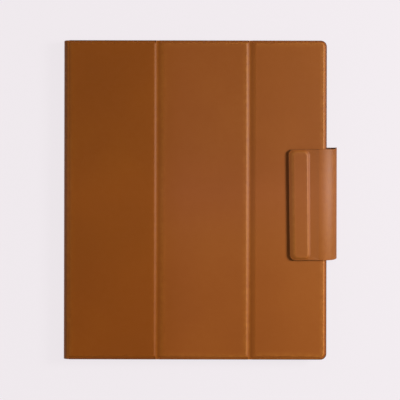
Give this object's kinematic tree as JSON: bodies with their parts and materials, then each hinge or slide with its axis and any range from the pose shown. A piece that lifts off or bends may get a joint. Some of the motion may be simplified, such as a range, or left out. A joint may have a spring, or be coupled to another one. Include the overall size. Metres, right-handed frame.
{
  "type": "e-reader in folio cover",
  "caption": "Closed e-reader in a tan leather folio: folding panelled front cover, rounded spine and a magnetic clasp flap round the fore edge.",
  "frame": {"origin": "middle of the back panel's flat outer face, which lies on the table", "axes": "+Y up the page, +X from the spine to the clasp flap, +Z out of the screen and the closed cover"},
  "size_m": [0.1965, 0.23, 0.0143],
  "materials": {
    "tan_leather": "satin",
    "lining_cloth": "matte",
    "stiff_board": "matte",
    "magnet": "satin",
    "anodised_shell": "satin",
    "stamped_plate": "satin",
    "dark_frame": "matte",
    "etched_glass": "satin",
    "clear_film": "gloss",
    "paper_display": "matte",
    "circuit_board": "satin",
    "dark_chip": "matte",
    "ribbon_cable": "satin",
    "pouch_cell": "satin",
    "bare_steel": "satin",
    "white_plastic": "matte"
  },
  "bodies": {
    "back_panel": {"back_leather": "tan_leather", "back_board": "stiff_board", "back_magnets": "magnet", "back_lining": "lining_cloth", "spine_back_fold": "tan_leather", "flap_back_fold": "tan_leather"},
    "spine": {"spine_leather": "tan_leather", "spine_lining": "lining_cloth", "spine_front_fold": "tan_leather"},
    "inner_panel": {"inner_panel_leather": "tan_leather", "inner_panel_board": "stiff_board", "inner_panel_magnets": "magnet", "inner_panel_lining": "lining_cloth", "inner_crease": "tan_leather"},
    "middle_panel": {"middle_panel_leather": "tan_leather", "middle_panel_board": "stiff_board", "middle_panel_lining": "lining_cloth", "outer_crease": "tan_leather"},
    "outer_panel": {"outer_panel_leather": "tan_leather", "outer_panel_board": "stiff_board", "outer_panel_magnets": "magnet", "outer_panel_lining": "lining_cloth"},
    "flap_bridge": {"flap_bridge_leather": "tan_leather", "flap_bridge_lining": "lining_cloth", "flap_top_fold": "tan_leather"},
    "flap": {"flap_leather": "tan_leather", "flap_lining": "lining_cloth", "flap_magnets": "magnet"},
    "power_button": {"power_button": "anodised_shell"},
    "reader": {"reader_magnets": "magnet", "reader_shell": "anodised_shell", "chassis_plate": "stamped_plate", "shield_cans": "stamped_plate", "front_frame": "dark_frame", "speakers": "dark_frame", "socket_tongue": "dark_frame", "front_glass": "etched_glass", "touch_film": "clear_film", "light_guide": "clear_film", "status_light": "clear_film", "paper_panel": "paper_display", "pen_sensor": "circuit_board", "main_board": "circuit_board", "charge_board": "circuit_board", "magnet_sensor": "dark_chip", "microphone": "dark_chip", "power_switch": "dark_chip", "screen_ribbon": "ribbon_cable", "battery_leads": "ribbon_cable", "charge_ribbon": "ribbon_cable", "wireless_aerial": "ribbon_cable", "battery_cells": "pouch_cell", "chassis_screws": "bare_steel", "charging_socket": "bare_steel", "light_strip": "white_plastic"}
  },
  "joints": [
    {"name": "spine_hinge", "type": "hinge", "parent": "back_panel", "child": "spine", "pos_m": [-0.09125, 0, 0.004], "axis": [0, 1, 0], "range_deg": [-90, 0], "deforming": ["spine_back_fold"]},
    {"name": "cover_hinge", "type": "hinge", "parent": "spine", "child": "inner_panel", "pos_m": [-0.09125, 0, 0.0076], "axis": [0, 1, 0], "range_deg": [-90, 0], "deforming": ["spine_front_fold"]},
    {"name": "inner_crease_hinge", "type": "hinge", "parent": "inner_panel", "child": "middle_panel", "pos_m": [-0.0273, 0, 0.0106], "axis": [0, -1, 0], "range_deg": [0, 125], "deforming": ["inner_crease"]},
    {"name": "outer_crease_hinge", "type": "hinge", "parent": "middle_panel", "child": "outer_panel", "pos_m": [0.03965, 0, 0.0106], "axis": [0, -1, 0], "range_deg": [0, 125], "deforming": ["outer_crease"]},
    {"name": "flap_hinge", "type": "hinge", "parent": "back_panel", "child": "flap_bridge", "pos_m": [0.0982, 0, 0.0041], "axis": [0, 1, 0], "range_deg": [0, 90], "deforming": ["flap_back_fold"]},
    {"name": "flap_fold", "type": "hinge", "parent": "flap_bridge", "child": "flap", "pos_m": [0.0982, 0, 0.0102], "axis": [0, 1, 0], "range_deg": [0, 90], "deforming": ["flap_top_fold"]},
    {"name": "reader_slide", "type": "slide", "parent": "back_panel", "child": "reader", "axis": [0, 1, 0], "range_m": [0, 0.24]},
    {"name": "power_button_press", "type": "slide", "parent": "reader", "child": "power_button", "axis": [0, -1, 0], "range_m": [0, 0.0003], "stiffness_N_per_m": 5000}
  ],
  "couplings": [
    {"joint": "flap_fold", "follows": "flap_hinge", "ratio": 1}
  ]
}
